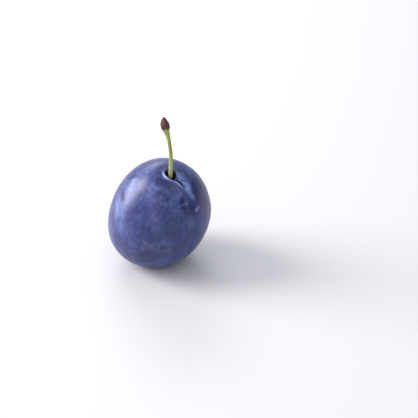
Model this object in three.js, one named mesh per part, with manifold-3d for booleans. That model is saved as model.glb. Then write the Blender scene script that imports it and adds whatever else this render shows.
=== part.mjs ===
// A blue European plum, picked with its stalk on, resting on a small flat spot beside its blossom tip.
// Millimetres, +Z up. The origin is the middle of the flat spot. The stalk end leans to the front right.
// The skin is a lathed outline that a formula turns into the real, slightly lopsided fruit, with the pit
// that holds the stalk, the sharp crease that runs out of the pit and the shallow seam down one side.

import * as THREE from "three";
import { mergeVertices } from "three/addons/utils/BufferGeometryUtils.js";
import Module from "manifold-3d";

const wasm = await Module();
wasm.setup();

const DEGREE = Math.PI / 180;

// The fruit's body
const CHEEK_RADIUS = 20.3; // half the width from cheek to cheek
const LENGTH = 48.8; // blossom tip to stalk end, before the pit is sunk
const WIDEST_SHARE = 0.473; // how far up its length the fruit is widest
const BLOSSOM_FULLNESS = 2.42; // power of the outline's curve: 2 is an ellipse, more is blunter
const STALK_FULLNESS = 1.94;
const SEAM_NARROWING = 0.019; // share by which the section is narrower through the seam
const BOW_X = 2.15; // how far the body's middle bows off the straight line between its ends
const BOW_Y = 0.95;
const BLOSSOM_LENGTH = LENGTH * WIDEST_SHARE;
const STALK_LENGTH = LENGTH - BLOSSOM_LENGTH;

// How it rests: the axis leans, and its widest section's middle stands over the flat spot
const LEAN = 22.7 * DEGREE;
const LEAN_HEADING = -42 * DEGREE; // 0 is +X, -90 degrees is the front
const REST_HEIGHT = 22.85;
const REST_X = -0.22;
const REST_Y = -0.08;

// The pit, the raised rim on its front side, the shallow bowl round it, and the dimple at the blossom tip
const PIT_DEPTH = 3.4;
const PIT_FLOOR_RADIUS = 1.3;
const PIT_MOUTH_RADIUS = 2.6;
const RIM_HEIGHT = 0.55;
const RIM_RADIUS = 3.0;
const RIM_HALF_WIDTH = 0.65;
const RIM_HEADING = -125 * DEGREE; // the rim's middle, measured as the lean's heading is
const RIM_HALF_ANGLE = 62 * DEGREE;
const BOWL_DEPTH = 1.4;
const BOWL_RADIUS = 6.6;
const TIP_DIMPLE_DEPTH = 0.35;
const TIP_DIMPLE_RADIUS = 1.6;

// The sharp crease out of the pit, with a raised lip on its front side
const CREASE_DEPTH = 1.9;
const CREASE_LIP_WIDTH = 0.35; // half width on the lip's side, which is steep
const CREASE_CHEEK_WIDTH = 0.45; // half width on the other side
const CREASE_START = 1.5; // distance from the axis, inside the pit, where the crease begins
const CREASE_FADE = 6.2; // distance where it starts to fade
const CREASE_END = 9.0;
const LIP_HEIGHT = 0.45;
const LIP_ASIDE = -0.85; // how far the lip stands beside the crease
const LIP_HALF_WIDTH = 0.5;

// The seam that carries the crease on to the blossom tip, deeper over the stalk end's shoulder
const SEAM_HEADING = -32 * DEGREE;
const SEAM_SWAY = -16 * DEGREE; // how far the seam wanders off that heading between its ends
const SWAY_START = 7; // distance from the axis
const SWAY_END = 15;
const SEAM_CURL = -32 * DEGREE; // how far the crease curls round the front of the pit
const CURL_START = 2.0;
const CURL_END = 4.2;
const SEAM_DEPTH = 0.3;
const SEAM_HALF_WIDTH = 2.2;
const SEAM_FADE = 7.0; // distance from the axis within which the seam fades at each end
const SHOULDER_DEPTH = 1.15;
const SHOULDER_FADE = 7.0;
const SHOULDER_END = 17.0;

// The stalk: its route from the pit's floor, and its radius at distances along it
const STALK_GAP = 0.3;
const STALK_ROUTE = [
  [0, 0, 0],
  [0.45, -0.4, 1.5],
  [0.8, -0.9, 5.7],
  [0.85, 0, 11.6],
  [0.15, 1.7, 16.8],
  [-0.95, 3, 21],
  [-1.5, 3.6, 23.3],
  [-1.65, 4.1, 25.8],
];
const STALK_OUTLINE = [
  [0, 1.1],
  [1.2, 0.92],
  [5, 0.84],
  [10, 0.79],
  [14.5, 0.69],
  [17.4, 0.74],
  [19.7, 0.94],
  [21.3, 1.2],
];
const KNOB_OUTLINE = [
  [21.7, 1.42],
  [22.9, 1.7],
  [24.1, 1.68],
  [25.3, 1.32],
  [26.3, 0.78],
  [26.9, 0.3],
];
const STALK_RIBS = 5;
const STALK_RIB_SHARE = 0.035;
const KNOB_RIB_SHARE = 0.07;

// Fineness of the faceted solids
const MERIDIANS = 72;
const BODY_RINGS = 34;
const PIT_RINGS = 17;
const PIT_ZONE_RADIUS = 6.5;
const SEAM_CROWDING = 0.5; // 1 spaces the meridians evenly, less crowds them at the seam
const STALK_SIDES = 15;
const STALK_RINGS = 26;
const KNOB_RINGS = 9;
const MERGE_DISTANCE = 1e-4;

/** 0 below low, 1 above high, and a smooth rise between them. */
function rise(low, high, value) {
  return THREE.MathUtils.smoothstep(value, low, high);
}

/** A bell curve of height 1 and the given half width. */
function bell(distance, halfWidth) {
  return Math.exp(-((distance / halfWidth) ** 2));
}

/** How far the bowl and the pit are sunk below the stalk end's outline at a radius. */
function pitSink(radius) {
  const pit = PIT_DEPTH * (1 - rise(PIT_FLOOR_RADIUS, PIT_MOUTH_RADIUS, radius));
  return pit + BOWL_DEPTH * bell(radius, BOWL_RADIUS);
}

/** The skin's outline beside its axis, from the blossom tip at 0 to the middle of the pit at 1. */
class SkinOutline extends THREE.Curve {
  constructor(start, end) {
    super();
    this.start = start;
    this.end = end;
  }

  getPoint(share) {
    const angle = Math.PI * (this.start + (this.end - this.start) * share);
    const sine = Math.max(0, Math.sin(angle));
    const cosine = Math.abs(Math.cos(angle));
    if (angle <= Math.PI / 2) {
      const radius = CHEEK_RADIUS * sine ** (2 / BLOSSOM_FULLNESS);
      const dimple = TIP_DIMPLE_DEPTH * bell(radius, TIP_DIMPLE_RADIUS);
      return new THREE.Vector2(radius, dimple - BLOSSOM_LENGTH * cosine ** (2 / BLOSSOM_FULLNESS));
    }
    const radius = CHEEK_RADIUS * sine ** (2 / STALK_FULLNESS);
    const height = STALK_LENGTH * cosine ** (2 / STALK_FULLNESS);
    return new THREE.Vector2(radius, height - pitSink(radius));
  }
}

/** The direction out of the plain body at a radius and height, as a share along each. */
function outward(radius, height) {
  const fullness = height < 0 ? BLOSSOM_FULLNESS : STALK_FULLNESS;
  const length = height < 0 ? BLOSSOM_LENGTH : STALK_LENGTH;
  const across = (radius / CHEEK_RADIUS) ** (fullness - 1) / CHEEK_RADIUS;
  const along = (Math.sign(height) * Math.min(1, Math.abs(height) / length) ** (fullness - 1)) / length;
  return new THREE.Vector2(across, along).normalize();
}

/** The seam's heading round the axis at a distance from it, on the stalk end or on the rest of the body. */
function seamHeading(radius, height) {
  const curled = height > 0 ? 1 - rise(CURL_START, CURL_END, radius) : 0;
  return SEAM_HEADING + SEAM_CURL * curled + SEAM_SWAY * rise(SWAY_START, SWAY_END, radius);
}

/** How high the rim stands on the front side of the pit. */
function rimRise(radius, heading) {
  const round = 2 * Math.sin((heading - RIM_HEADING) / 2);
  return RIM_HEIGHT * bell(radius - RIM_RADIUS, RIM_HALF_WIDTH) * bell(round, RIM_HALF_ANGLE);
}

/** How deep the crease, the seam and the rim sink the skin, at a distance and an angle from the seam. */
function seamSink(radius, height, fromSeam) {
  const aside = radius * Math.sin(fromSeam);
  const ahead = rise(0, 1, Math.cos(fromSeam));
  const groove = ahead * bell(aside, SEAM_HALF_WIDTH);
  const seam = groove * SEAM_DEPTH * rise(0, SEAM_FADE, radius);
  if (height < 0) return seam;
  const outOfPit = rise(CREASE_START, PIT_MOUTH_RADIUS, radius);
  const shoulder = groove * SHOULDER_DEPTH * outOfPit * (1 - rise(SHOULDER_FADE, SHOULDER_END, radius));
  const sharp = ahead * outOfPit * (1 - rise(CREASE_FADE, CREASE_END, radius));
  const crease = sharp * CREASE_DEPTH * bell(aside, aside < 0 ? CREASE_LIP_WIDTH : CREASE_CHEEK_WIDTH);
  const lip = sharp * LIP_HEIGHT * bell(aside - LIP_ASIDE, LIP_HALF_WIDTH);
  return seam + shoulder + crease - Math.max(rimRise(radius, seamHeading(radius, height) + fromSeam), lip);
}

/** Moves each vertex of a lathe to the place given for its radius, height and turn, and closes its seam. */
function reshaped(lathe, place) {
  const position = lathe.getAttribute("position");
  const point = new THREE.Vector3();
  for (let index = 0; index < position.count; index++) {
    point.fromBufferAttribute(position, index);
    const moved = place(Math.hypot(point.x, point.z), point.y, Math.atan2(point.x, point.z));
    position.setXYZ(index, moved.x, moved.y, moved.z);
  }
  lathe.deleteAttribute("normal");
  lathe.deleteAttribute("uv");
  return mergeVertices(lathe, MERGE_DISTANCE);
}

/** A point of the skin in the fruit's own frame, its axis along Z. */
function skinPoint(radius, height, turn) {
  const share = turn / Math.PI;
  const fromSeam = Math.PI * (SEAM_CROWDING * share + (1 - SEAM_CROWDING) * share ** 3);
  const unsunk = height > 0 ? height + pitSink(radius) : height;
  const out = outward(radius, unsunk);
  const sink = seamSink(radius, unsunk, fromSeam);
  const section = 1 - SEAM_NARROWING * Math.cos(2 * fromSeam);
  const reach = (radius - sink * out.x) * section;
  const end = unsunk < 0 ? BLOSSOM_LENGTH : STALK_LENGTH;
  const bow = Math.max(0, 1 - (unsunk / end) ** 2);
  const heading = seamHeading(radius, unsunk) + fromSeam;
  return new THREE.Vector3(
    reach * Math.cos(heading) + BOW_X * bow,
    reach * Math.sin(heading) + BOW_Y * bow,
    height - sink * out.y,
  );
}

/** A closed geometry as a solid, so that it can be cut. */
function solidOf(geometry) {
  return new wasm.Manifold(
    new wasm.Mesh({
      numProp: 3,
      vertProperties: new Float32Array(geometry.getAttribute("position").array),
      triVerts: new Uint32Array(geometry.index.array),
    }),
  );
}

/** A solid back as a geometry. */
function geometryOf(solid) {
  const mesh = solid.getMesh();
  return new THREE.BufferGeometry()
    .setAttribute("position", new THREE.BufferAttribute(mesh.vertProperties, 3))
    .setIndex(new THREE.BufferAttribute(mesh.triVerts, 1));
}

const axis = new THREE.Vector3(
  Math.sin(LEAN) * Math.cos(LEAN_HEADING),
  Math.sin(LEAN) * Math.sin(LEAN_HEADING),
  Math.cos(LEAN),
);
const leaning = new THREE.Quaternion().setFromUnitVectors(new THREE.Vector3(0, 0, 1), axis);
const bodyMiddle = new THREE.Vector3(REST_X, REST_Y, REST_HEIGHT);

/** The fruit: a lathed and reshaped skin, leaning, with what reaches below the table cut flat. */
function makeFruit() {
  const pitStart = 1 - Math.asin((PIT_ZONE_RADIUS / CHEEK_RADIUS) ** (STALK_FULLNESS / 2)) / Math.PI;
  const body = new SkinOutline(0, pitStart).getSpacedPoints(BODY_RINGS);
  const pit = new SkinOutline(pitStart, 1).getSpacedPoints(PIT_RINGS);
  const outline = [...body, ...pit.slice(1)];
  outline[0].x = 0;
  outline[outline.length - 1].x = 0;
  const skin = reshaped(new THREE.LatheGeometry(outline, MERIDIANS), skinPoint);
  skin.applyQuaternion(leaning);
  skin.translate(bodyMiddle.x, bodyMiddle.y, bodyMiddle.z);
  const below = new THREE.BoxGeometry(LENGTH * 2, LENGTH * 2, LENGTH).translate(0, 0, -LENGTH / 2);
  below.deleteAttribute("normal");
  below.deleteAttribute("uv");
  return geometryOf(solidOf(skin).subtract(solidOf(mergeVertices(below, MERGE_DISTANCE))));
}

/** The stalk, with the woody knob where it left the twig, bent along its route out of the pit. */
function makeStalk() {
  const pitFloor = new THREE.Vector3(0, 0, STALK_LENGTH - pitSink(0) + STALK_GAP)
    .applyQuaternion(leaning)
    .add(bodyMiddle);
  const route = new THREE.CatmullRomCurve3(
    STALK_ROUTE.map(([x, y, z]) => new THREE.Vector3(x, y, z).add(pitFloor)),
  );
  const pair = ([along, radius]) => new THREE.Vector2(radius, along);
  const shaft = new THREE.SplineCurve(STALK_OUTLINE.map(pair)).getPoints(STALK_RINGS);
  const knob = new THREE.SplineCurve(KNOB_OUTLINE.map(pair)).getPoints(KNOB_RINGS);
  const knobStart = KNOB_OUTLINE[0][0];
  const end = KNOB_OUTLINE[KNOB_OUTLINE.length - 1][0] + KNOB_OUTLINE[KNOB_OUTLINE.length - 1][1];
  const outline = [new THREE.Vector2(0, 0), ...shaft, ...knob, new THREE.Vector2(0, end)];
  const scale = route.getLength() / end;
  const sideways = new THREE.Vector3(1, 0, 0);
  return reshaped(new THREE.LatheGeometry(outline, STALK_SIDES), (radius, along, turn) => {
    const share = Math.min(1, (along * scale) / route.getLength());
    const heading = route.getTangentAt(share);
    const back = new THREE.Vector3().crossVectors(heading, sideways).normalize();
    const right = new THREE.Vector3().crossVectors(back, heading);
    const ribShare = along < knobStart ? STALK_RIB_SHARE : KNOB_RIB_SHARE;
    const reach = radius * (1 + ribShare * Math.cos(STALK_RIBS * turn));
    return route
      .getPointAt(share)
      .addScaledVector(right, reach * Math.cos(turn))
      .addScaledVector(back, reach * Math.sin(turn));
  });
}

const skinMaterial = new THREE.MeshStandardMaterial({ color: 0x464f86, roughness: 0.55, metalness: 0 });
const stalkMaterial = new THREE.MeshStandardMaterial({ color: 0x8b9560, roughness: 0.6, metalness: 0 });

const fruit = new THREE.Mesh(makeFruit(), skinMaterial);
fruit.name = "fruit";
const stalk = new THREE.Mesh(makeStalk(), stalkMaterial);
stalk.name = "stalk";

const plum = new THREE.Group();
plum.add(fruit, stalk);

export default plum;
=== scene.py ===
"""A blue European plum, picked with its stalk on, dressed for close viewing.

The fruit and the stalk follow the same formulas and sizes as the solids that they stand for, at a finer
pitch. Lengths are in metres, except those of the marks and of the stalk's knots, which are in millimetres.
+Z is up, and the origin is in the middle of the flat spot the fruit rests on.
"""

from __future__ import annotations

import logging
import math
import random
from dataclasses import dataclass, field
from enum import Enum

import bmesh
import bpy
from mathutils import Matrix, Quaternion, Vector, noise

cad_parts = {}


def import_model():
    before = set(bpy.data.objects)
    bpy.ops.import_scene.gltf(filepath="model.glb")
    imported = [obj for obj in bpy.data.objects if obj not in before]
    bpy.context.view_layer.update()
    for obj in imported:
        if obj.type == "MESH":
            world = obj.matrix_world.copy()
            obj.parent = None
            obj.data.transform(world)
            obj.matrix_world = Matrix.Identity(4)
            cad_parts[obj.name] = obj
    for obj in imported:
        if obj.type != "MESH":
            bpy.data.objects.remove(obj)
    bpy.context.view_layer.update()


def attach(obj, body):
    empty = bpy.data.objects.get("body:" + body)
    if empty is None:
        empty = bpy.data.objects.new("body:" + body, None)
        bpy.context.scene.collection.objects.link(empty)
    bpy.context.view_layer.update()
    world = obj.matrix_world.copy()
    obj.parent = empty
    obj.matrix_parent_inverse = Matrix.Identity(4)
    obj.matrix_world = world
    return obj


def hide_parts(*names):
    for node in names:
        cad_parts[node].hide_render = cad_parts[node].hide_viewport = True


Colour = tuple[float, float, float, float]
Triple = tuple[float, float, float]

MM = 0.001
MERGE_DISTANCE = 0.0005 * MM
CUT_TOLERANCE = 1e-7
SPAN_MARGIN = 1e-9
LEAST_STEP = 1e-12
# Numbers each skin vertex holds. The lip mark is thick bloom with a painted highlight on the crests. The
# crease and pit marks are painted shade. The wear marks carry painted shade and painted light in places.
MARKS = ("seam_aside", "seam_share", "crease", "lip", "pit", "tip", "rubbed_and_shade", "plum", "dusted_and_light")
log = logging.getLogger("plum")


def rise(low: float, high: float, value: float) -> float:
    """Gives 0 below low, 1 above high, and a smooth rise between them.

    Args:
        low: Where the rise starts.
        high: Where the rise ends.
        value: Where it is read.

    Returns:
        A share from 0 to 1.
    """
    share = min(1.0, max(0.0, (value - low) / (high - low)))
    return share * share * (3 - 2 * share)


def bell(distance: float, half_width: float) -> float:
    """Gives a bell curve of height 1.

    Args:
        distance: Distance from the bell's middle.
        half_width: Distance at which it has fallen to about a third.

    Returns:
        A share from 0 to 1.
    """
    return math.exp(-((distance / half_width) ** 2))


def paint(red: int, green: int, blue: int) -> Colour:
    """Turns a screen colour into the linear one that a shader takes.

    Args:
        red: Red from 0 to 255.
        green: Green from 0 to 255.
        blue: Blue from 0 to 255.

    Returns:
        The linear colour with an alpha of 1.
    """

    def linear(value: int) -> float:
        """Gives one channel's linear value."""
        share = value / 255
        return share / 12.92 if share <= 0.04045 else ((share + 0.055) / 1.055) ** 2.4

    return linear(red), linear(green), linear(blue), 1.0


class Half(Enum):
    """The two halves of the fruit's outline, which meet at its widest section."""

    BLOSSOM = "blossom"
    STALK = "stalk"


@dataclass(frozen=True)
class Posture:
    """How the fruit's axis leans, and where its widest section's middle stands."""

    lean: float = math.radians(22.7)
    heading: float = math.radians(-42)
    middle: Triple = (-0.22 * MM, -0.08 * MM, 22.85 * MM)

    def axis(self) -> Vector:
        """Gives the direction from the blossom tip to the stalk end."""
        across = math.sin(self.lean)
        return Vector((across * math.cos(self.heading), across * math.sin(self.heading), math.cos(self.lean)))

    def turn(self) -> Quaternion:
        """Gives the turn that leans an upright fruit."""
        return Vector((0, 0, 1)).rotation_difference(self.axis())

    def placing(self) -> Matrix:
        """Gives the move from the upright fruit's own frame, its axis along Z, to the part's frame."""
        return Matrix.Translation(self.middle) @ self.turn().to_matrix().to_4x4()


@dataclass(frozen=True)
class StalkEnd:
    """The pit that holds the stalk, the rim on its front side and the shallow bowl round it."""

    pit_depth: float = 3.4 * MM
    floor_radius: float = 1.3 * MM
    mouth_radius: float = 2.6 * MM
    zone_radius: float = 6.5 * MM
    rim_height: float = 0.55 * MM
    rim_radius: float = 3.0 * MM
    rim_half_width: float = 0.65 * MM
    rim_heading: float = math.radians(-125)
    rim_half_angle: float = math.radians(62)
    bowl_depth: float = 1.4 * MM
    bowl_radius: float = 6.6 * MM

    def pit_share(self, radius: float) -> float:
        """Gives 1 on the pit's floor and 0 outside its mouth."""
        return 1 - rise(self.floor_radius, self.mouth_radius, radius)

    def sink(self, radius: float) -> float:
        """Gives how far the bowl and the pit are sunk below the plain body at a distance from the axis."""
        return self.pit_depth * self.pit_share(radius) + self.bowl_depth * bell(radius, self.bowl_radius)

    def rim(self, radius: float, heading: float) -> float:
        """Gives how high the rim stands at a distance from the axis and a heading round it."""
        round_share = bell(2 * math.sin((heading - self.rim_heading) / 2), self.rim_half_angle)
        return self.rim_height * bell(radius - self.rim_radius, self.rim_half_width) * round_share


@dataclass(frozen=True)
class Seam:
    """The sharp crease out of the pit, its lip, and the seam that carries it on to the blossom tip."""

    heading: float = math.radians(-32)
    sway: float = math.radians(-16)
    sway_start: float = 7 * MM
    sway_end: float = 15 * MM
    curl: float = math.radians(-32)
    curl_start: float = 2.0 * MM
    curl_end: float = 4.2 * MM
    depth: float = 0.3 * MM
    half_width: float = 2.2 * MM
    fade: float = 7 * MM
    shoulder_depth: float = 1.15 * MM
    shoulder_fade: float = 7 * MM
    shoulder_end: float = 17 * MM
    crease_depth: float = 1.9 * MM
    crease_lip_width: float = 0.35 * MM
    crease_cheek_width: float = 0.45 * MM
    shade_width: float = 0.85 * MM
    crease_start: float = 1.5 * MM
    crease_fade: float = 6.2 * MM
    crease_end: float = 9.0 * MM
    lip_height: float = 0.45 * MM
    lip_aside: float = -0.85 * MM
    lip_half_width: float = 0.5 * MM
    # Thick bloom with a painted highlight along the lip's crest: its half width, its strength and the rise
    # that shapes it.
    bloom_and_highlight_half_width: float = 0.7 * MM
    bloom_and_highlight_strength: float = 1.35
    bloom_and_highlight_low: float = 0.05
    bloom_and_highlight_high: float = 0.85
    least_shade_share: float = 0.1

    def heading_at(self, radius: float, height: float) -> float:
        """Gives the seam's heading round the axis at a distance from it, on one of the two halves."""
        curled = 1 - rise(self.curl_start, self.curl_end, radius) if height > 0 else 0.0
        return self.heading + self.curl * curled + self.sway * rise(self.sway_start, self.sway_end, radius)

    def crease_share(self, radius: float, mouth_radius: float) -> float:
        """Gives how strong the crease is at a distance from the axis."""
        started = rise(self.crease_start, mouth_radius, radius)
        return started * (1 - rise(self.crease_fade, self.crease_end, radius))

    def sink(self, radius: float, height: float, from_seam: float, stalk_end: StalkEnd) -> float:
        """Gives how deep the crease and the seam are sunk, less what the rim and the lip are raised.

        Args:
            radius: Distance from the axis.
            height: Height on the plain body, negative on the blossom half.
            from_seam: Angle from the seam, negative on the front side.
            stalk_end: The pit, whose mouth the crease starts in.

        Returns:
            The depth along the skin's inward normal.
        """
        aside = radius * math.sin(from_seam)
        ahead = rise(0, 1, math.cos(from_seam))
        groove = ahead * bell(aside, self.half_width)
        seam = groove * self.depth * rise(0, self.fade, radius)
        if height < 0:
            return seam
        mouth = stalk_end.mouth_radius
        started = rise(self.crease_start, mouth, radius)
        shoulder = started * (1 - rise(self.shoulder_fade, self.shoulder_end, radius))
        crease = self.crease_share(radius, mouth)
        width = self.crease_lip_width if aside < 0 else self.crease_cheek_width
        lip = self.lip_height * ahead * crease * bell(aside - self.lip_aside, self.lip_half_width)
        raised = max(stalk_end.rim(radius, self.heading_at(radius, height) + from_seam), lip)
        cut = ahead * self.crease_depth * crease * bell(aside, width)
        return seam + groove * self.shoulder_depth * shoulder + cut - raised


@dataclass(frozen=True)
class Ramp:
    """A smooth rise of a shader's number: start at low and below, end at high and above."""

    low: float
    high: float
    start: float = 0.0
    end: float = 1.0


@dataclass(frozen=True)
class Pattern:
    """A cloudy noise: its scale per millimetre, finer layers, their strength and its distortion."""

    scale: float
    layers: float
    roughness: float = 0.5
    warp: float = 0.0


@dataclass(frozen=True)
class Relief:
    """How high a bump stands, in metres, and how strongly it bends the light."""

    distance: float
    strength: float


def set_range(node: bpy.types.Node, rising: Ramp) -> None:
    """Sets a Map Range node's four numbers."""
    node.inputs["From Min"].default_value = rising.low
    node.inputs["From Max"].default_value = rising.high
    node.inputs["To Min"].default_value = rising.start
    node.inputs["To Max"].default_value = rising.end


@dataclass
class NodeTree:
    """A short way of writing a material's nodes."""

    material: bpy.types.Material
    nodes: bpy.types.Nodes = field(init=False)
    links: bpy.types.NodeLinks = field(init=False)

    def __post_init__(self) -> None:
        """Turns the material's nodes on."""
        self.material.use_nodes = True
        self.nodes = self.material.node_tree.nodes
        self.links = self.material.node_tree.links

    def feed(self, socket: bpy.types.NodeSocket, value: object) -> None:
        """Links an output to a socket, or sets the socket to a plain value.

        Args:
            socket: The input that is fed.
            value: An output socket, a number or a colour.
        """
        if isinstance(value, bpy.types.NodeSocket):
            self.links.new(value, socket)
        else:
            socket.default_value = value

    def maths(
        self, operation: str, first: object, second: object = 0.0, third: object = 0.0
    ) -> bpy.types.NodeSocket:
        """Adds a Math node.

        Args:
            operation: Its operation, such as MULTIPLY.
            first: Its first value.
            second: Its second value.
            third: Its third value.

        Returns:
            Its output.
        """
        node = self.nodes.new("ShaderNodeMath")
        node.operation = operation
        for socket, value in zip(node.inputs, (first, second, third)):
            self.feed(socket, value)
        return node.outputs[0]

    def ramp(self, value: object, rising: Ramp) -> bpy.types.NodeSocket:
        """Adds a smooth rise from one value to another.

        Args:
            value: What is read.
            rising: The rise.

        Returns:
            The output.
        """
        node = self.nodes.new("ShaderNodeMapRange")
        node.interpolation_type = "SMOOTHSTEP"
        set_range(node, rising)
        self.feed(node.inputs["Value"], value)
        return node.outputs["Result"]

    def blend(self, factor: object, first: object, second: object) -> bpy.types.NodeSocket:
        """Adds a colour Mix node.

        Args:
            factor: How much of the second colour shows.
            first: The first colour.
            second: The second colour.

        Returns:
            The mixed colour.
        """
        node = self.nodes.new("ShaderNodeMix")
        node.data_type = "RGBA"
        self.feed(node.inputs[0], factor)
        self.feed(node.inputs[6], first)
        self.feed(node.inputs[7], second)
        return node.outputs[2]

    def noise(self, place: object, pattern: Pattern) -> bpy.types.NodeSocket:
        """Adds a cloudy noise.

        Args:
            place: The coordinates it reads.
            pattern: Its scale and its kind.

        Returns:
            The noise, about 0.5 on average.
        """
        node = self.nodes.new("ShaderNodeTexNoise")
        node.inputs["Scale"].default_value = pattern.scale
        node.inputs["Detail"].default_value = pattern.layers
        node.inputs["Roughness"].default_value = pattern.roughness
        node.inputs["Distortion"].default_value = pattern.warp
        self.feed(node.inputs["Vector"], place)
        return node.outputs["Fac"]

    def from_dots(self, place: object, scale: float) -> bpy.types.NodeSocket:
        """Gives the distance from the nearest of many scattered dots."""
        node = self.nodes.new("ShaderNodeTexVoronoi")
        node.inputs["Scale"].default_value = scale
        self.feed(node.inputs["Vector"], place)
        return node.outputs["Distance"]

    def attribute(self, name: str) -> bpy.types.NodeSocket:
        """Reads a number that each vertex of the piece holds."""
        node = self.nodes.new("ShaderNodeAttribute")
        node.attribute_name = name
        return node.outputs["Fac"]

    def place(self, scale: Triple = (1, 1, 1), turn: Triple = (0, 0, 0)) -> bpy.types.NodeSocket:
        """Gives the piece's own coordinates in millimetres, turned and then stretched.

        Args:
            scale: Scale along each axis, on top of the change to millimetres.
            turn: Turn round each axis in radians.

        Returns:
            The coordinates.
        """
        coordinates = self.nodes.new("ShaderNodeTexCoord")
        turned = self.nodes.new("ShaderNodeMapping")
        turned.inputs["Rotation"].default_value = turn
        self.links.new(coordinates.outputs["Object"], turned.inputs["Vector"])
        stretched = self.nodes.new("ShaderNodeMapping")
        stretched.inputs["Scale"].default_value = tuple(share / MM for share in scale)
        self.links.new(turned.outputs["Vector"], stretched.inputs["Vector"])
        return stretched.outputs["Vector"]

    def bump(self, height: object, relief: Relief, normal: object = None) -> bpy.types.NodeSocket:
        """Adds a Bump node.

        Args:
            height: The height that is read.
            relief: The height's size and strength.
            normal: A normal that it adds to.

        Returns:
            The bent normal.
        """
        node = self.nodes.new("ShaderNodeBump")
        node.inputs["Distance"].default_value = relief.distance
        node.inputs["Strength"].default_value = relief.strength
        self.feed(node.inputs["Height"], height)
        if normal is not None:
            self.feed(node.inputs["Normal"], normal)
        return node.outputs["Normal"]

    def shader(self) -> bpy.types.Node:
        """Gives the material's Principled BSDF."""
        return next(node for node in self.nodes if node.type == "BSDF_PRINCIPLED")


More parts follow.
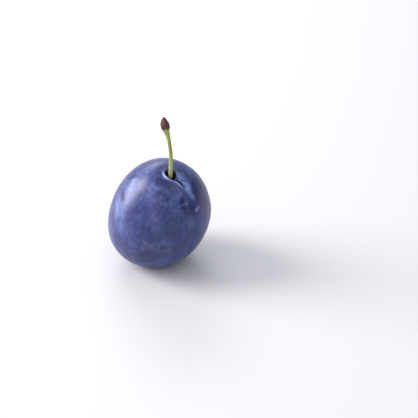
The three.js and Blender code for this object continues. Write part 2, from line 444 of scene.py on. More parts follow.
@dataclass(frozen=True)
class SkinFinish:
    """Plum skin: dark blue-violet, under a pale bloom that is mottled, streaked and worn. It has painted
    shade in the crease, in the pit and in some patches, painted light in other patches, and a painted
    highlight with the bloom on the crests of the rim and the crease's lip.
    """

    posture: Posture
    skin_blue: Colour = paint(13, 26, 88)
    skin_plum: Colour = paint(40, 29, 86)
    bloom_blue: Colour = paint(54, 75, 142)
    bloom_pale: Colour = paint(84, 104, 160)
    bloom_plum: Colour = paint(108, 96, 158)
    thick_bloom_and_light: Colour = paint(126, 148, 204)
    crest_bloom_and_highlight: Colour = paint(162, 176, 225)
    pit_painted_shade: Colour = paint(34, 12, 22)
    crease_painted_shade: Colour = paint(14, 16, 44)
    speck: Colour = paint(128, 132, 176)
    scar: Colour = paint(120, 92, 70)
    sheen_tint: Colour = paint(200, 210, 255)
    clouds: Pattern = Pattern(0.085, 3, 0.55, 0.4)
    mottle: Pattern = Pattern(0.42, 5, 0.62, 0.3)
    streaks: Pattern = Pattern(0.8, 4, 0.6, 0.2)
    blotches: Pattern = Pattern(1.8, 3, 0.6, 0.5)
    grain: Pattern = Pattern(3.2, 4, 0.6)
    frayed: Pattern = Pattern(1.0, 4, 0.65, 0.3)
    redder: Pattern = Pattern(0.12, 4, 0.6)
    dotted: Pattern = Pattern(0.3, 2)
    streak_stretch: Triple = (1, 1, 0.28)
    frayed_ramp: Ramp = Ramp(0.3, 0.7, 0.5, 1.3)
    redder_ramp: Ramp = Ramp(0.45, 0.65)
    redder_most: float = 0.3
    bloom_ramp: Ramp = Ramp(0.2, 0.88, 0.06, 0.9)
    bloom_bias: float = 0.02
    clouds_share: float = 0.9
    mottle_share: float = 0.66
    streaks_share: float = 0.7
    blotches_share: float = 0.5
    dusted_and_light_bloom: float = 0.5
    plum_bloom: float = 0.25
    seam_bloom: float = 0.4
    pale_ramp: Ramp = Ramp(0.4, 0.7)
    plum_tint: float = 0.6
    dusted_and_light_tint: float = 0.85
    bloom_and_highlight_ramp: Ramp = Ramp(0.3, 0.6, 0.72, 1.0)
    seam_ramp: Ramp = Ramp(0.1, 1.3, 1, 0)
    crease_shade_ramp: Ramp = Ramp(0.1, 0.7)
    dot_scale: float = 0.42
    dot_ramp: Ramp = Ramp(0.04, 0.16, 1, 0)
    dotted_ramp: Ramp = Ramp(0.45, 0.65, 0.0, 0.4)
    scar_strength: float = 0.8
    pit_shade_ramp: Ramp = Ramp(0.0, 0.14)
    scuffed_ramp: Ramp = Ramp(0.9, 1.3, 0, 0.35)
    roughness_ramp: Ramp = Ramp(0.1, 0.9, 0.36, 0.52)
    grain_relief: Relief = Relief(0.03 * MM, 0.4)
    mottle_relief: Relief = Relief(0.1 * MM, 0.5)

    def material(self) -> bpy.types.Material:
        """Builds the skin's material.

        Returns:
            The material.
        """
        material = bpy.data.materials.new("plum_skin")
        tree = NodeTree(material)
        upright = tuple(self.posture.turn().inverted().to_euler())
        place = tree.place()
        clouds = tree.noise(place, self.clouds)
        mottle = tree.noise(place, self.mottle)
        streaks = tree.noise(tree.place(self.streak_stretch, upright), self.streaks)
        blotches = tree.noise(place, self.blotches)

        frayed = tree.ramp(tree.noise(place, self.frayed), self.frayed_ramp)
        plum, rubbed_and_shade, dusted_and_light = (
            tree.maths("MULTIPLY", tree.attribute(wear.value), frayed)
            for wear in (Wear.PLUM, Wear.RUBBED_AND_SHADE, Wear.DUSTED_AND_LIGHT)
        )
        redder = tree.ramp(tree.noise(place, self.redder), self.redder_ramp)
        redder = tree.maths("MULTIPLY", redder, self.redder_most)
        skin = tree.blend(tree.maths("MAXIMUM", redder, plum), self.skin_blue, self.skin_plum)

        thick = tree.maths("MULTIPLY_ADD", clouds, self.clouds_share, self.bloom_bias)
        for noise_value, share in (
            (mottle, self.mottle_share),
            (streaks, self.streaks_share),
            (blotches, self.blotches_share),
        ):
            thick = tree.maths("ADD", thick, tree.maths("MULTIPLY_ADD", noise_value, share, -share / 2))
        bloom = tree.ramp(thick, self.bloom_ramp)
        # Marks that thicken and lighten the bloom, some of them painted light.
        bloom = tree.maths("ADD", bloom, tree.maths("MULTIPLY", dusted_and_light, self.dusted_and_light_bloom))
        bloom = tree.maths("ADD", bloom, tree.maths("MULTIPLY", plum, self.plum_bloom))
        # Marks that thin the bloom, some of them painted shade.
        bloom = tree.maths("SUBTRACT", bloom, rubbed_and_shade)
        # Thick bloom with a near-white painted highlight along the crests of the rim and the crease's lip.
        bloom_and_highlight = tree.maths("MULTIPLY", tree.attribute("lip"), tree.ramp(blotches, self.bloom_and_highlight_ramp))
        tint = tree.blend(tree.ramp(clouds, self.pale_ramp), self.bloom_blue, self.bloom_pale)
        tint = tree.blend(tree.maths("MULTIPLY", plum, self.plum_tint), tint, self.bloom_plum)
        tint = tree.blend(tree.maths("MULTIPLY", dusted_and_light, self.dusted_and_light_tint), tint, self.thick_bloom_and_light)
        tint = tree.blend(bloom_and_highlight, tint, self.crest_bloom_and_highlight)

        beside = tree.ramp(tree.maths("ABSOLUTE", tree.attribute("seam_aside")), self.seam_ramp)
        line = tree.maths("MULTIPLY", beside, tree.attribute("seam_share"))
        line = tree.maths("MULTIPLY", line, tree.maths("MULTIPLY", mottle, self.seam_bloom))
        bloom = tree.maths("ADD", bloom, line)
        bloom = tree.maths("MINIMUM", tree.maths("MAXIMUM", bloom, bloom_and_highlight), 1.0)
        colour = tree.blend(bloom, skin, tint)
        # Painted shade: the crease is darkened where its walls lie in shade, wider on the cheek side.
        colour = tree.blend(tree.ramp(tree.attribute("crease"), self.crease_shade_ramp), colour, self.crease_painted_shade)

        dot = tree.ramp(tree.from_dots(place, self.dot_scale), self.dot_ramp)
        dot = tree.maths("MULTIPLY", dot, tree.ramp(tree.noise(place, self.dotted), self.dotted_ramp))
        colour = tree.blend(dot, colour, self.speck)
        scarred = tree.maths("MULTIPLY", tree.attribute("tip"), self.scar_strength)
        colour = tree.blend(scarred, colour, self.scar)
        # Painted shade: the pit's inside is darkened to near black.
        colour = tree.blend(tree.ramp(tree.attribute("pit"), self.pit_shade_ramp), colour, self.pit_painted_shade)

        shader = tree.shader()
        tree.feed(shader.inputs["Base Color"], colour)
        scuffed = tree.ramp(rubbed_and_shade, self.scuffed_ramp)
        roughness = tree.maths("ADD", tree.ramp(bloom, self.roughness_ramp), scuffed)
        tree.feed(shader.inputs["Roughness"], roughness)
        shader.inputs["Specular IOR Level"].default_value = 0.56
        shader.inputs["Sheen Weight"].default_value = 0.08
        shader.inputs["Sheen Roughness"].default_value = 0.45
        shader.inputs["Sheen Tint"].default_value = self.sheen_tint
        fine = tree.bump(tree.noise(place, self.grain), self.grain_relief)
        tree.feed(shader.inputs["Normal"], tree.bump(mottle, self.mottle_relief, fine))
        return material


@dataclass(frozen=True)
class StalkFinish:
    """A fresh green stalk, brown at the rough knob where it left the twig."""

    base: Colour = paint(174, 181, 122)
    middle: Colour = paint(150, 163, 76)
    flare: Colour = paint(156, 168, 88)
    brown: Colour = paint(104, 84, 62)
    knob: Colour = paint(68, 38, 36)
    knob_pale: Colour = paint(116, 84, 80)
    knob_from: float = 0.795
    knob_to: float = 0.83
    knob_edge_shift: float = 0.03
    knob_edge_waver: float = 0.06
    fibre_stretch: Triple = (1, 1, 0.12)
    fibres: Pattern = Pattern(2.6, 4, 0.6)
    spots: Pattern = Pattern(1.1, 4, 0.65, 0.4)
    bark: Pattern = Pattern(2.4, 5, 0.65)
    edge: Pattern = Pattern(1.3, 3)
    fine: Pattern = Pattern(3.0, 4)
    middle_ramp: Ramp = Ramp(0.1, 0.45)
    flare_ramp: Ramp = Ramp(0.6, 0.78)
    fibre_ramp: Ramp = Ramp(0.5, 0.72)
    fibre_brown: float = 0.55
    spot_ramp: Ramp = Ramp(0.58, 0.75)
    spot_brown: float = 0.5
    weathered_from: Ramp = Ramp(0.4, 0.5)
    weathered_to: Ramp = Ramp(0.56, 0.68, 1, 0)
    weathered_brown: float = 0.42
    bark_ramp: Ramp = Ramp(0.4, 0.68)
    green_roughness: float = 0.48
    bark_roughness: float = 0.8
    fibre_relief: Relief = Relief(0.08 * MM, 0.6)
    fine_relief: Relief = Relief(0.06 * MM, 0.5)

    def material(self) -> bpy.types.Material:
        """Builds the stalk's material.

        Returns:
            The material.
        """
        material = bpy.data.materials.new("plum_stalk")
        tree = NodeTree(material)
        place = tree.place()
        fibres = tree.noise(tree.place(self.fibre_stretch), self.fibres)
        along = tree.attribute("along")

        green = tree.blend(tree.ramp(along, self.middle_ramp), self.base, self.middle)
        green = tree.blend(tree.ramp(along, self.flare_ramp), green, self.flare)
        spots = tree.ramp(tree.noise(place, self.spots), self.spot_ramp)
        weathered = tree.maths(
            "MULTIPLY", tree.ramp(along, self.weathered_from), tree.ramp(along, self.weathered_to)
        )
        for browned, share in (
            (tree.ramp(fibres, self.fibre_ramp), self.fibre_brown),
            (spots, self.spot_brown),
            (weathered, self.weathered_brown),
        ):
            green = tree.blend(tree.maths("MULTIPLY", browned, share), green, self.brown)
        bark = tree.blend(tree.ramp(tree.noise(place, self.bark), self.bark_ramp), self.knob, self.knob_pale)
        edge = tree.maths("MULTIPLY_ADD", tree.noise(place, self.edge), self.knob_edge_waver, along)
        barked = Ramp(self.knob_from + self.knob_edge_shift, self.knob_to + self.knob_edge_shift)
        colour = tree.blend(tree.ramp(edge, barked), green, bark)

        shader = tree.shader()
        tree.feed(shader.inputs["Base Color"], colour)
        rough = Ramp(self.knob_from, self.knob_to, self.green_roughness, self.bark_roughness)
        tree.feed(shader.inputs["Roughness"], tree.ramp(along, rough))
        shader.inputs["Specular IOR Level"].default_value = 0.4
        ribbed = tree.bump(fibres, self.fibre_relief)
        tree.feed(shader.inputs["Normal"], tree.bump(tree.noise(place, self.fine), self.fine_relief, ribbed))
        return material


class Wear(Enum):
    """What a mark does to the bloom over the skin. Some marks that thin it are painted shade, and some that
    thicken it are painted light.
    """

    # Bloom worn off; some of these marks are painted shade.
    RUBBED_AND_SHADE = "rubbed_and_shade"
    PLUM = "plum"
    # Thicker bloom; some of these marks are painted light.
    DUSTED_AND_LIGHT = "dusted_and_light"


@dataclass(frozen=True)
class Mark:
    """A long soft patch where the bloom is worn off, lies thicker or covers redder skin; some patches are
    painted shade and some are painted light.
    """

    wear: Wear
    start: Triple
    end: Triple
    half_width: float
    strength: float

    def share(self, point: Vector) -> float:
        """Gives how strong the mark is at a point."""
        start = Vector(self.start)
        along = Vector(self.end) - start
        part = min(1.0, max(0.0, (point - start).dot(along) / along.length_squared))
        return self.strength * bell((point - start - along * part).length, self.half_width)


@dataclass(frozen=True)
class Handling:
    """The marks on the skin: bloom worn off, lying thicker or over redder skin, with patches of painted shade
    and painted light among them.
    """

    seed: int = 7
    hidden_count: int = 18
    hidden_behind: float = 3.0
    hidden_shares: tuple[float, float] = (0.12, 0.8)
    hidden_stretches: tuple[float, float] = (0.02, 0.06)
    hidden_turns: tuple[float, float] = (-0.1, 0.1)
    hidden_sizes: tuple[float, float] = (0.5, 2.4)
    hidden_strengths: tuple[float, float] = (0.4, 0.9)
    seen: tuple[Mark, ...] = (
        Mark(Wear.RUBBED_AND_SHADE, (-12.7, -6.0, 37.0), (-12.2, -9.2, 35.7), 1.1, 1.6),
        # The next five marks are painted shade: they darken the left edge, the lower left, the bottom, the
        # right flank and the left shoulder.
        Mark(Wear.RUBBED_AND_SHADE, (-16.4, -3.4, 31.0), (-17.2, -6.8, 24.0), 2.2, 0.4),
        Mark(Wear.RUBBED_AND_SHADE, (-15.6, -10.1, 14.5), (-11.2, -12.5, 9.7), 4.5, 0.5),
        Mark(Wear.RUBBED_AND_SHADE, (-6.0, -16.3, 12.9), (5.2, -16.5, 12.5), 5.0, 0.35),
        Mark(Wear.RUBBED_AND_SHADE, (17.7, -5.1, 38.1), (20.4, -5.9, 31.0), 3.4, 0.8),
        Mark(Wear.RUBBED_AND_SHADE, (-9.4, -0.7, 41.9), (-14.4, -2.3, 35.3), 2.6, 0.65),
        Mark(Wear.RUBBED_AND_SHADE, (2.5, -10.9, 44.7), (5.7, -12.0, 43.5), 1.5, 0.75),
        # Painted shade: darkens the far shoulder behind the pit.
        Mark(Wear.RUBBED_AND_SHADE, (-3.6, -0.4, 46.0), (0.5, 0.0, 47.0), 1.8, 0.35),
        Mark(Wear.RUBBED_AND_SHADE, (-13.9, -9.7, 31.5), (-14.4, -11.3, 26.0), 0.45, 0.6),
        Mark(Wear.RUBBED_AND_SHADE, (-11.7, -12.4, 32.4), (-12.2, -13.6, 27.5), 0.4, 0.4),
        Mark(Wear.RUBBED_AND_SHADE, (-8.5, -3.3, 42.8), (-8.0, -4.7, 43.0), 0.7, 0.7),
        Mark(Wear.RUBBED_AND_SHADE, (1.8, -10.6, 44.9), (5.3, -11.5, 43.9), 0.9, 0.7),
        # The next six marks are painted shade: the bowl left of the pit, the dark right flank, a contact
        # shadow low on the right, the shaded side of the seam's groove, the bowl right of the pit and the
        # bottom.
        Mark(Wear.RUBBED_AND_SHADE, (2.1, -3.8, 47.0), (1.9, -7.1, 46.2), 0.9, 0.25),
        Mark(Wear.RUBBED_AND_SHADE, (15.9, -5.6, 40.2), (18.5, -8.2, 34.4), 2.0, 0.85),
        Mark(Wear.RUBBED_AND_SHADE, (12.6, -14.8, 34.8), (15.0, -13.6, 32.2), 1.7, 0.9),
        Mark(Wear.RUBBED_AND_SHADE, (11.3, -13.9, 38.5), (11.9, -15.0, 35.9), 0.8, 0.7),
        Mark(Wear.RUBBED_AND_SHADE, (9.4, -2.8, 45.3), (14.1, -4.9, 42.1), 0.8, 0.45),
        Mark(Wear.RUBBED_AND_SHADE, (-1.8, -18.1, 16.2), (4.6, -18.7, 18.5), 2.6, 0.5),
        Mark(Wear.RUBBED_AND_SHADE, (2.8, -14.2, 42.1), (5.4, -15.9, 39.8), 1.6, 0.45),
        Mark(Wear.PLUM, (-0.5, -16.0, 39.4), (0.2, -19.2, 31.2), 2.6, 0.8),
        Mark(Wear.PLUM, (5.1, -11.5, 43.9), (4.5, -13.7, 42.5), 1.0, 0.35),
        Mark(Wear.PLUM, (-6.9, -6.5, 43.0), (-9.4, -10.4, 38.5), 2.2, 0.65),
        Mark(Wear.PLUM, (-3.7, -18.7, 20.9), (-1.3, -18.9, 19.1), 1.5, 0.7),
        Mark(Wear.PLUM, (-10.5, -15.6, 23.6), (-9.1, -16.2, 27.8), 1.5, 0.6),
        Mark(Wear.PLUM, (9.6, -12.6, 41.4), (10.3, -14.0, 39.5), 1.1, 0.7),
        Mark(Wear.PLUM, (-6.7, -5.4, 43.8), (-5.8, -9.7, 42.8), 1.5, 0.6),
        Mark(Wear.PLUM, (5.3, 1.9, 46.6), (9.3, 1.0, 45.5), 1.2, 0.4),
        Mark(Wear.DUSTED_AND_LIGHT, (-0.2, -12.4, 43.5), (1.8, -13.5, 42.9), 1.0, 0.5),
        # The next five marks are painted light: the lit cheek beside the crease, the crease's lit lip, and a
        # painted highlight down the left shoulder.
        Mark(Wear.DUSTED_AND_LIGHT, (11.0, -4.5, 44.2), (13.0, -7.1, 41.6), 1.2, 0.6),
        Mark(Wear.DUSTED_AND_LIGHT, (13.0, -8.3, 40.5), (15.2, -10.6, 36.9), 1.3, 1.0),
        Mark(Wear.DUSTED_AND_LIGHT, (9.8, -5.8, 43.9), (12.0, -7.9, 41.6), 1.3, 0.95),
        Mark(Wear.DUSTED_AND_LIGHT, (-7.9, -6.9, 42.4), (-10.6, -11.6, 35.6), 1.7, 0.6),
        Mark(Wear.DUSTED_AND_LIGHT, (-11.5, -11.8, 33.8), (-13.4, -12.8, 25.1), 1.5, 0.45),
        Mark(Wear.DUSTED_AND_LIGHT, (5.7, -16.6, 38.4), (8.8, -17.3, 34.6), 1.8, 0.35),
        # Painted light: lightens the middle of the front.
        Mark(Wear.DUSTED_AND_LIGHT, (0.2, -18.6, 33.5), (1.6, -19.4, 29.5), 2.8, 0.25),
        Mark(Wear.DUSTED_AND_LIGHT, (12.1, -14.7, 36.1), (13.0, -13.7, 35.8), 0.7, 1.3),
        Mark(Wear.DUSTED_AND_LIGHT, (16.5, -12.2, 32.3), (17.3, -11.3, 32.4), 0.9, 1.2),
        Mark(Wear.DUSTED_AND_LIGHT, (10.4, -8.4, 41.8), (12.0, -9.4, 40.6), 0.6, 1.1),
        # Painted highlight: lightens the lower end of the highlight on the left.
        Mark(Wear.DUSTED_AND_LIGHT, (-14.6, -8.3, 31.6), (-12.9, -13.3, 25.3), 2.4, 0.45),
        Mark(Wear.DUSTED_AND_LIGHT, (-17.0, -8.3, 16.2), (-13.5, -11.9, 12.7), 1.8, 0.4),
    )

    def marks(self, fruit: Fruit) -> list[Mark]:
        """Gives the marks on the front, and others of the same kinds on the sides that aren't seen.

        Args:
            fruit: The fruit whose skin carries them.

        Returns:
            The marks.
        """
        draw = random.Random(self.seed)
        marks = list(self.seen)
        while len(marks) < len(self.seen) + self.hidden_count:
            share, turn = draw.uniform(*self.hidden_shares), draw.uniform(-math.pi, math.pi)
            end_share = share + draw.uniform(*self.hidden_stretches)
            end_turn = turn + draw.uniform(*self.hidden_turns)
            spots = ((share, turn), (end_share, end_turn))
            start, end = (fruit.skin_point(*spot) / MM for spot in spots)
            if min(start.y, end.y) > self.hidden_behind:
                size, strength = draw.uniform(*self.hidden_sizes), draw.uniform(*self.hidden_strengths)
                marks.append(Mark(draw.choice(list(Wear)), tuple(start), tuple(end), size, strength))
        return marks


@dataclass
class Fruit:
    """The fruit's body, spun from its outline and then given its pit, crease, seam and bow."""

    posture: Posture = field(default_factory=Posture)
    stalk_end: StalkEnd = field(default_factory=StalkEnd)
    seam: Seam = field(default_factory=Seam)
    handling: Handling = field(default_factory=Handling)
    cheek_radius: float = 20.3 * MM
    length: float = 48.8 * MM
    widest_share: float = 0.473
    blossom_fullness: float = 2.42
    stalk_fullness: float = 1.94
    seam_narrowing: float = 0.019
    bow_x: float = 2.15 * MM
    bow_y: float = 0.95 * MM
    tip_dimple_depth: float = 0.35 * MM
    tip_dimple_radius: float = 1.6 * MM
    scar_radius: float = 0.5 * MM
    # How far outside the rim's crest its bloom and painted highlight lie.
    bloom_and_highlight_outside: float = 0.2 * MM
    unevenness: float = 0.11 * MM
    unevenness_size: float = 11 * MM
    unevenness_calm: float = 1.0
    unevenness_step: float = 2.0
    unevenness_layers: int = 3
    outline_trials: int = 2000
    meridians: int = 300
    body_rings: int = 190
    pit_rings: int = 110
    seam_crowding: float = 0.5

    def end_length(self, half: Half) -> float:
        """Gives how far a half reaches from the widest section."""
        share = self.widest_share if half is Half.BLOSSOM else 1 - self.widest_share
        return self.length * share

    def fullness(self, half: Half) -> float:
        """Gives the power of a half's curve."""
        return self.blossom_fullness if half is Half.BLOSSOM else self.stalk_fullness

    def outline_point(self, share: float) -> tuple[float, float]:
        """Gives a point of the outline beside the axis.

        Args:
            share: 0 at the blossom tip, 1 in the middle of the pit.

        Returns:
            Its distance from the axis and its height.
        """
        angle = math.pi * share
        half = Half.BLOSSOM if angle <= math.pi / 2 else Half.STALK
        power = 2 / self.fullness(half)
        radius = self.cheek_radius * max(0.0, math.sin(angle)) ** power
        height = self.end_length(half) * abs(math.cos(angle)) ** power
        if half is Half.BLOSSOM:
            return radius, self.tip_dimple_depth * bell(radius, self.tip_dimple_radius) - height
        return radius, height - self.stalk_end.sink(radius)

    def outline(self) -> list[tuple[float, float]]:
        """Gives the outline in even steps, finer in the pit than over the body."""
        zone = (self.stalk_end.zone_radius / self.cheek_radius) ** (self.stalk_fullness / 2)
        start = 1 - math.asin(zone) / math.pi
        body = self.evenly(0, start, self.body_rings)
        pit = self.evenly(start, 1, self.pit_rings)
        points = body + pit[1:]
        points[0] = (0.0, points[0][1])
        points[-1] = (0.0, points[-1][1])
        return points

    def evenly(self, start: float, end: float, steps: int) -> list[tuple[float, float]]:
        """Gives points of the outline an even distance apart.

        Args:
            start: Share of the outline to start at.
            end: Share of the outline to end at.
            steps: Number of stretches between the points.

        Returns:
            The points, one more than the steps.
        """
        last = self.outline_trials
        trial = [self.outline_point(start + (end - start) * index / last) for index in range(last + 1)]
        far = [0.0]
        for before, after in zip(trial, trial[1:]):
            far.append(far[-1] + math.dist(before, after))
        points = []
        nearest = 0
        for step in range(steps + 1):
            wanted = far[-1] * step / steps
            while nearest < last and far[nearest] < wanted:
                nearest += 1
            points.append(trial[nearest])
        return points

    def outward(self, radius: float, height: float) -> tuple[float, float]:
        """Gives the direction out of the plain body, as a share across and a share along the axis."""
        half = Half.BLOSSOM if height < 0 else Half.STALK
        power = self.fullness(half) - 1
        end = self.end_length(half)
        across = (radius / self.cheek_radius) ** power / self.cheek_radius
        along = math.copysign(min(1.0, abs(height) / end) ** power, height) / end
        size = math.hypot(across, along)
        return across / size, along / size

    def shaped(self, radius: float, height: float, turn: float) -> tuple[Vector, dict[str, float]]:
        """Turns a point of the spun outline into a point of the real skin.

        Args:
            radius: Its distance from the axis.
            height: Its height along the axis.
            turn: Its turn round the axis.

        Returns:
            The point in the fruit's own frame, and the numbers that its finish reads.
        """
        share = turn / math.pi
        from_seam = math.pi * (self.seam_crowding * share + (1 - self.seam_crowding) * share**3)
        unsunk = height + self.stalk_end.sink(radius) if height > 0 else height
        out_across, out_along = self.outward(radius, unsunk)
        sink = self.seam.sink(radius, unsunk, from_seam, self.stalk_end)
        section = 1 - self.seam_narrowing * math.cos(2 * from_seam)
        reach = (radius - sink * out_across) * section
        end = self.end_length(Half.BLOSSOM if unsunk < 0 else Half.STALK)
        bow = max(0.0, 1 - (unsunk / end) ** 2)
        heading = self.seam.heading_at(radius, unsunk) + from_seam
        bowed_x = reach * math.cos(heading) + self.bow_x * bow
        bowed_y = reach * math.sin(heading) + self.bow_y * bow
        point = Vector((bowed_x, bowed_y, height - sink * out_along))
        ahead = math.cos(from_seam) > 0
        aside = radius * math.sin(from_seam)
        mouth = self.stalk_end.mouth_radius
        crease = self.seam.crease_share(radius, mouth) if unsunk > 0 and ahead else 0.0
        shade_width = self.seam.shade_width * max(crease, self.seam.least_shade_share)
        marks = {
            "seam_aside": aside / MM if ahead else self.cheek_radius / MM,
            "seam_share": rise(self.seam.crease_fade, self.seam.crease_end, radius) if ahead else 0.0,
            # Painted shade in the crease.
            "crease": crease * bell(aside, self.seam.crease_lip_width if aside < 0 else shade_width),
            # Thick bloom with a painted highlight on the crests of the rim and the crease's lip.
            "lip": self.bloom_and_highlight_share(radius, heading, aside, crease) if unsunk > 0 else 0.0,
            # Painted shade inside the pit.
            "pit": self.stalk_end.pit_share(radius) if unsunk > 0 else 0.0,
            "tip": bell(radius, self.scar_radius) if unsunk < 0 else 0.0,
        }
        return point, marks

    def skin_point(self, share: float, turn: float) -> Vector:
        """Gives the skin's point at a share of the outline and a turn, in the part's frame."""
        return self.posture.placing() @ self.shaped(*self.outline_point(share), turn)[0]

    def bloom_and_highlight_share(self, radius: float, heading: float, aside: float, crease: float) -> float:
        """Gives the strength of the thick bloom and painted highlight along the crest of the rim and of the
        crease's lip.
        """
        rim = self.stalk_end.rim(radius - self.bloom_and_highlight_outside, heading) / self.stalk_end.rim_height
        from_lip = aside - self.seam.lip_aside
        lip = self.seam.bloom_and_highlight_strength * crease * bell(from_lip, self.seam.bloom_and_highlight_half_width)
        return rise(self.seam.bloom_and_highlight_low, self.seam.bloom_and_highlight_high, max(rim, lip))

    def uneven(self, point: Vector, radius: float) -> float:
        """Gives how far the grown skin stands off the plain one at a point."""
        calm = rise(self.stalk_end.mouth_radius, self.stalk_end.zone_radius, radius)
        waves = noise.fractal(
            point / self.unevenness_size, self.unevenness_calm, self.unevenness_step, self.unevenness_layers
        )
        return self.unevenness * calm * waves

    def build(self) -> bpy.types.Object:
        """Builds the fruit as one closed mesh with its finish.

        Returns:
            The fruit's object.
        """
        mesh = spun(self.outline(), self.meridians)
        layers = {name: mesh.verts.layers.float.new(name) for name in MARKS}
        placing = self.posture.placing()
        handled = self.handling.marks(self)
        for vertex in mesh.verts:
            radius = math.hypot(vertex.co.x, vertex.co.y)
            height = vertex.co.z
            turn = math.atan2(vertex.co.y, vertex.co.x)
            point, marks = self.shaped(radius, height, turn)
            point += point.normalized() * self.uneven(point, radius if height > 0 else self.cheek_radius)
            vertex.co = placing @ point
            for mark in handled:
                marks[mark.wear.value] = max(marks.get(mark.wear.value, 0.0), mark.share(vertex.co / MM))
            for name, value in marks.items():
                vertex[layers[name]] = value
        self.cut_flat(mesh)
        return made(mesh, "fruit_skin", SkinFinish(self.posture).material())

    def cut_flat(self, mesh: bmesh.types.BMesh) -> None:
        """Cuts what reaches below the table and closes the flat spot."""
        everything = mesh.verts[:] + mesh.edges[:] + mesh.faces[:]
        bmesh.ops.bisect_plane(
            mesh, geom=everything, dist=CUT_TOLERANCE,
            plane_co=(0, 0, 0), plane_no=(0, 0, -1), clear_outer=True,
        )
        border = [edge for edge in mesh.edges if edge.is_boundary]
        filled = bmesh.ops.holes_fill(mesh, edges=border, sides=0)
        bmesh.ops.triangulate(mesh, faces=filled["faces"])


def spun(outline: list[tuple[float, float]], steps: int) -> bmesh.types.BMesh:
    """Spins an outline once round the Z axis into a closed mesh.

    Args:
        outline: Distances from the axis and heights, from one end to the other.
        steps: Number of faces round the axis.

    Returns:
        The mesh, with its faces turned outward.
    """
    mesh = bmesh.new()
    chain = [mesh.verts.new((radius, 0, height)) for radius, height in outline]
    edges = [mesh.edges.new(pair) for pair in zip(chain, chain[1:])]
    bmesh.ops.spin(
        mesh, geom=chain + edges, cent=(0, 0, 0), axis=(0, 0, 1), dvec=(0, 0, 0), angle=math.tau,
        steps=steps, use_merge=True, use_duplicate=False,
    )
    bmesh.ops.remove_doubles(mesh, verts=mesh.verts[:], dist=MERGE_DISTANCE)
    bmesh.ops.recalc_face_normals(mesh, faces=mesh.faces[:])
    return mesh


def made(mesh: bmesh.types.BMesh, name: str, material: bpy.types.Material) -> bpy.types.Object:
    """Turns a finished mesh into a smooth object with its material.

    Args:
        mesh: The mesh, which is freed.
        name: The object's name.
        material: Its finish.

    Returns:
        The object, linked into the scene at the origin.
    """
    for face in mesh.faces:
        face.smooth = True
    data = bpy.data.meshes.new(name)
    mesh.to_mesh(data)
    mesh.free()
    data.materials.append(material)
    piece = bpy.data.objects.new(name, data)
    bpy.context.scene.collection.objects.link(piece)
    return piece


@dataclass
class Stalk:
    """The stalk, spun from its outline and then bent along its route out of the pit."""

    fruit: Fruit
    gap: float = 0.3 * MM
    route: tuple[Triple, ...] = (
        (0, 0, 0),
        (0.45, -0.4, 1.5),
        (0.8, -0.9, 5.7),
        (0.85, 0, 11.6),
        (0.15, 1.7, 16.8),
        (-0.95, 3, 21),
        (-1.5, 3.6, 23.3),
        (-1.65, 4.1, 25.8),
    )
    shaft: tuple[tuple[float, float], ...] = (
        (0, 1.1),
        (1.2, 0.92),
        (5, 0.84),
        (10, 0.79),
        (14.5, 0.69),
        (17.4, 0.74),
        (19.7, 0.94),
        (21.3, 1.2),
    )
    knob: tuple[tuple[float, float], ...] = (
        (21.7, 1.42),
        (22.9, 1.7),
        (24.1, 1.68),
        (25.3, 1.32),
        (26.3, 0.78),
        (26.9, 0.3),
    )
    ribs: int = 5
    rib_share: float = 0.035
    knob_rib_share: float = 0.07
    sides: int = 60
    shaft_rings: int = 150
    knob_rings: int = 60
    bark_relief: float = 0.1 * MM
    bark_size: float = 0.9 * MM
    bark_calm: float = 0.8
    bark_step: float = 2.1
    bark_layers: int = 4
    knob_blend: float = 0.4 * MM
    route_steps: int = 600

    def start(self) -> Vector:
        """Gives the place on the pit's floor where the stalk stands."""
        height = self.fruit.end_length(Half.STALK) - self.fruit.stalk_end.sink(0) + self.gap
        return self.fruit.posture.placing() @ Vector((0, 0, height))

    def route_points(self) -> list[Vector]:
        """Gives the route as close points on one smooth curve, in the part's frame."""
        base = self.start()
        knots = [Vector(offset) * MM + base for offset in self.route]
        knots = [knots[0] * 2 - knots[1], *knots, knots[-1] * 2 - knots[-2]]
        spans = len(knots) - 3
        points = []
        for step in range(self.route_steps + 1):
            where = min(spans - SPAN_MARGIN, spans * step / self.route_steps)
            span = int(where)
            points.append(bend(*knots[span : span + 4], where - span))
        return points

    def outline(self) -> list[tuple[float, float]]:
        """Gives the stalk's outline as distances along it and distances from its middle."""
        points = [(0.0, 0.0)]
        for knots, rings in ((self.shaft, self.shaft_rings), (self.knob, self.knob_rings)):
            padded = [knots[0], *knots, knots[-1]]
            spans = len(knots) - 1
            for ring in range(rings + 1):
                where = min(spans - SPAN_MARGIN, spans * ring / rings)
                span = int(where)
                points.append(eased(padded[span : span + 4], where - span))
        end = self.knob[-1][0] + self.knob[-1][1]
        points.append((end, 0.0))
        return [(along * MM, radius * MM) for along, radius in points]

    def build(self) -> bpy.types.Object:
        """Builds the stalk as one closed mesh with its finish.

        Returns:
            The stalk's object.
        """
        outline = self.outline()
        length = outline[-1][0]
        knob_start = self.knob[0][0] * MM
        mesh = spun([(radius, along) for along, radius in outline], self.sides)
        layer = mesh.verts.layers.float.new("along")
        path = Path(self.route_points())
        for vertex in mesh.verts:
            radius = math.hypot(vertex.co.x, vertex.co.y)
            turn = math.atan2(vertex.co.y, vertex.co.x)
            share = vertex.co.z / length
            on_knob = rise(knob_start - self.knob_blend, knob_start + self.knob_blend, vertex.co.z)
            rib = self.rib_share + (self.knob_rib_share - self.rib_share) * on_knob
            bark = noise.fractal(vertex.co / self.bark_size, self.bark_calm, self.bark_step, self.bark_layers)
            rough = self.bark_relief * on_knob * bark * min(1.0, radius / MM)
            reach = radius * (1 + rib * math.cos(self.ribs * turn)) + rough
            vertex[layer] = share
            vertex.co = path.beside(share, reach, turn)
        return made(mesh, "fruit_stalk", StalkFinish().material())


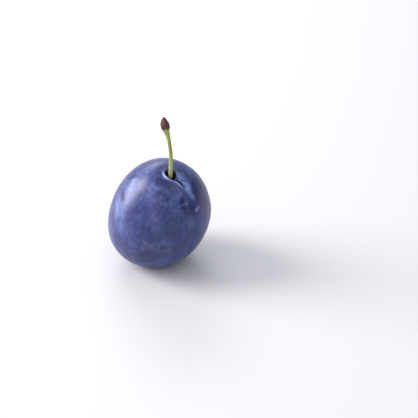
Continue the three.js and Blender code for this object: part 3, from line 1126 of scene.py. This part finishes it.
def bend(before: Vector, start: Vector, end: Vector, after: Vector, share: float) -> Vector:
    """Gives a point between two knots of a smooth curve that doesn't loop or overshoot.

    Args:
        before: The knot before the stretch.
        start: The knot that the stretch starts at.
        end: The knot that it ends at.
        after: The knot after it.
        share: How far along the stretch the point is.

    Returns:
        The point.
    """
    first = math.sqrt((start - before).length)
    second = math.sqrt((end - start).length)
    third = math.sqrt((after - end).length)
    leave = ((start - before) / first - (end - before) / (first + second) + (end - start) / second) * second
    arrive = ((end - start) / second - (after - start) / (second + third) + (after - end) / third) * second
    square = share * share
    cube = square * share
    return (
        start * (2 * cube - 3 * square + 1)
        + leave * (cube - 2 * square + share)
        + end * (3 * square - 2 * cube)
        + arrive * (cube - square)
    )


def eased(knots: list[tuple[float, float]], share: float) -> tuple[float, float]:
    """Gives a point between the middle two of four evenly weighted knots.

    Args:
        knots: Four pairs of numbers.
        share: How far from the second to the third the point is.

    Returns:
        The pair of numbers there.
    """
    square = share * share
    cube = square * share
    weights = (
        (-cube + 2 * square - share) / 2,
        (3 * cube - 5 * square + 2) / 2,
        (-3 * cube + 4 * square + share) / 2,
        (cube - square) / 2,
    )
    return tuple(sum(weight * knot[place] for weight, knot in zip(weights, knots)) for place in (0, 1))


@dataclass
class Path:
    """A route with even distances along it."""

    points: list[Vector]
    far: list[float] = field(init=False)

    def __post_init__(self) -> None:
        """Measures the route."""
        self.far = [0.0]
        for before, after in zip(self.points, self.points[1:]):
            self.far.append(self.far[-1] + (after - before).length)

    def spot(self, share: float) -> tuple[Vector, Vector]:
        """Gives the point and the heading at a share of the route's length."""
        wanted = self.far[-1] * min(1.0, max(0.0, share))
        low, high = 0, len(self.far) - 1
        while high - low > 1:
            middle = (low + high) // 2
            if self.far[middle] <= wanted:
                low = middle
            else:
                high = middle
        step = self.points[high] - self.points[low]
        part = (wanted - self.far[low]) / max(LEAST_STEP, self.far[high] - self.far[low])
        return self.points[low] + step * part, step.normalized()

    def beside(self, share: float, reach: float, turn: float) -> Vector:
        """Gives a point beside the route.

        Args:
            share: How far along the route it is.
            reach: Its distance from the route.
            turn: Its turn round the route, from the right.

        Returns:
            The point.
        """
        point, heading = self.spot(share)
        back = heading.cross(Vector((1, 0, 0))).normalized()
        right = back.cross(heading)
        return point + right * (reach * math.cos(turn)) + back * (reach * math.sin(turn))


@dataclass(frozen=True)
class Softbox:
    """A large oval studio light aimed at the fruit."""

    name: str
    place: Triple
    width: float
    height: float
    power: float
    colour: Triple
    aim: Triple = (0, 0, 0.025)

    def build(self) -> None:
        """Adds the light to the scene."""
        light = bpy.data.lights.new(self.name, "AREA")
        light.shape = "ELLIPSE"
        light.size = self.width
        light.size_y = self.height
        light.energy = self.power
        light.color = self.colour
        holder = bpy.data.objects.new(self.name, light)
        holder.location = self.place
        away = Vector(self.place) - Vector(self.aim)
        holder.rotation_euler = away.to_track_quat("Z", "Y").to_euler()
        bpy.context.scene.collection.objects.link(holder)


@dataclass
class Studio:
    """The plain pale floor, the soft lights and the camera."""

    posture: Posture = field(default_factory=Posture)
    floor_size: float = 60.0
    elevation: float = math.radians(33)
    lens_mm: float = 100.0
    sensor_mm: float = 36.0
    picture_px: float = 418.0
    mm_per_px: float = 0.408
    middle_px: tuple[float, float] = (155.4, 213.1)
    bright_side: Triple = (-0.5, -0.05, 0.85)
    bright_glow: float = 0.95
    dim_glow: float = 0.1
    dim_below: float = -0.7
    bright_above: float = 0.6
    surround_colour: Colour = (0.93, 0.95, 1.0, 1)
    floor_colour: Colour = (0.61, 0.603, 0.622, 1)
    floor_roughness: float = 0.6
    floor_drop: float = 0.01 * MM
    nearest_seen: float = 0.01
    softboxes: tuple[Softbox, ...] = (
        Softbox("left_softbox", (-1.26, 0.195, 0.616), 0.78, 1.5, 36.0, (1.0, 0.94, 0.93)),
        Softbox("back_softbox", (-0.3, 1.26, 0.85), 1.02, 0.42, 7.2, (0.96, 0.98, 1.0)),
    )

    def camera(self) -> None:
        """Adds the camera, so that the fruit's middle falls on its place in the picture."""
        distance = self.mm_per_px * MM * self.picture_px * self.lens_mm / self.sensor_mm
        forward = Vector((0, math.cos(self.elevation), -math.sin(self.elevation)))
        upward = Vector((0, math.sin(self.elevation), math.cos(self.elevation)))
        rightward = Vector((1, 0, 0))
        half = self.picture_px / 2
        across = (half - self.middle_px[0]) * self.mm_per_px * MM
        up = (self.middle_px[1] - half) * self.mm_per_px * MM
        data = bpy.data.cameras.new("camera")
        data.lens = self.lens_mm
        data.sensor_width = self.sensor_mm
        data.clip_start = self.nearest_seen
        holder = bpy.data.objects.new("camera", data)
        holder.location = Vector(self.posture.middle) - forward * distance + rightward * across + upward * up
        holder.rotation_euler = (math.pi / 2 - self.elevation, 0, 0)
        bpy.context.scene.collection.objects.link(holder)
        bpy.context.scene.camera = holder

    def floor(self) -> None:
        """Adds the white floor, which isn't part of the object."""
        mesh = bmesh.new()
        bmesh.ops.create_grid(mesh, x_segments=1, y_segments=1, size=self.floor_size / 2)
        bmesh.ops.translate(mesh, verts=mesh.verts[:], vec=(0, 0, -self.floor_drop))
        material = bpy.data.materials.new("studio_floor")
        shader = NodeTree(material).shader()
        shader.inputs["Base Color"].default_value = self.floor_colour
        shader.inputs["Roughness"].default_value = self.floor_roughness
        floor = made(mesh, "studio_floor", material)

    def surround(self) -> None:
        """Adds the soft surround, bright on the key's side and dim on the other."""
        world = bpy.data.worlds.new("studio")
        world.use_nodes = True
        nodes, links = world.node_tree.nodes, world.node_tree.links
        direction = nodes.new("ShaderNodeTexCoord")
        towards_key = nodes.new("ShaderNodeVectorMath")
        towards_key.operation = "DOT_PRODUCT"
        towards_key.inputs[1].default_value = Vector(self.bright_side).normalized()
        glow = nodes.new("ShaderNodeMapRange")
        glow.interpolation_type = "SMOOTHSTEP"
        set_range(glow, Ramp(self.dim_below, self.bright_above, self.dim_glow, self.bright_glow))
        links.new(direction.outputs["Generated"], towards_key.inputs[0])
        links.new(towards_key.outputs["Value"], glow.inputs["Value"])
        links.new(glow.outputs["Result"], nodes["Background"].inputs["Strength"])
        nodes["Background"].inputs["Color"].default_value = self.surround_colour
        bpy.context.scene.world = world

    def lights(self) -> None:
        """Adds the softboxes and sets the plain view of colours."""
        for softbox in self.softboxes:
            softbox.build()
        bpy.context.scene.view_settings.view_transform = "Standard"

    def build(self) -> None:
        """Adds everything round the object."""
        self.camera()
        self.floor()
        self.surround()
        self.lights()


def main() -> None:
    """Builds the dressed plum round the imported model."""
    logging.basicConfig(level=logging.INFO, format="%(message)s")
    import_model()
    Studio().build()

    fruit = Fruit()
    skin = fruit.build()
    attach(skin, "root")
    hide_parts("fruit")
    log.info("%s: %d vertices", skin.name, len(skin.data.vertices))

    stalk = Stalk(fruit).build()
    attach(stalk, "root")
    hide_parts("stalk")
    log.info("%s: %d vertices", stalk.name, len(stalk.data.vertices))


if __name__ == "__main__":
    main()
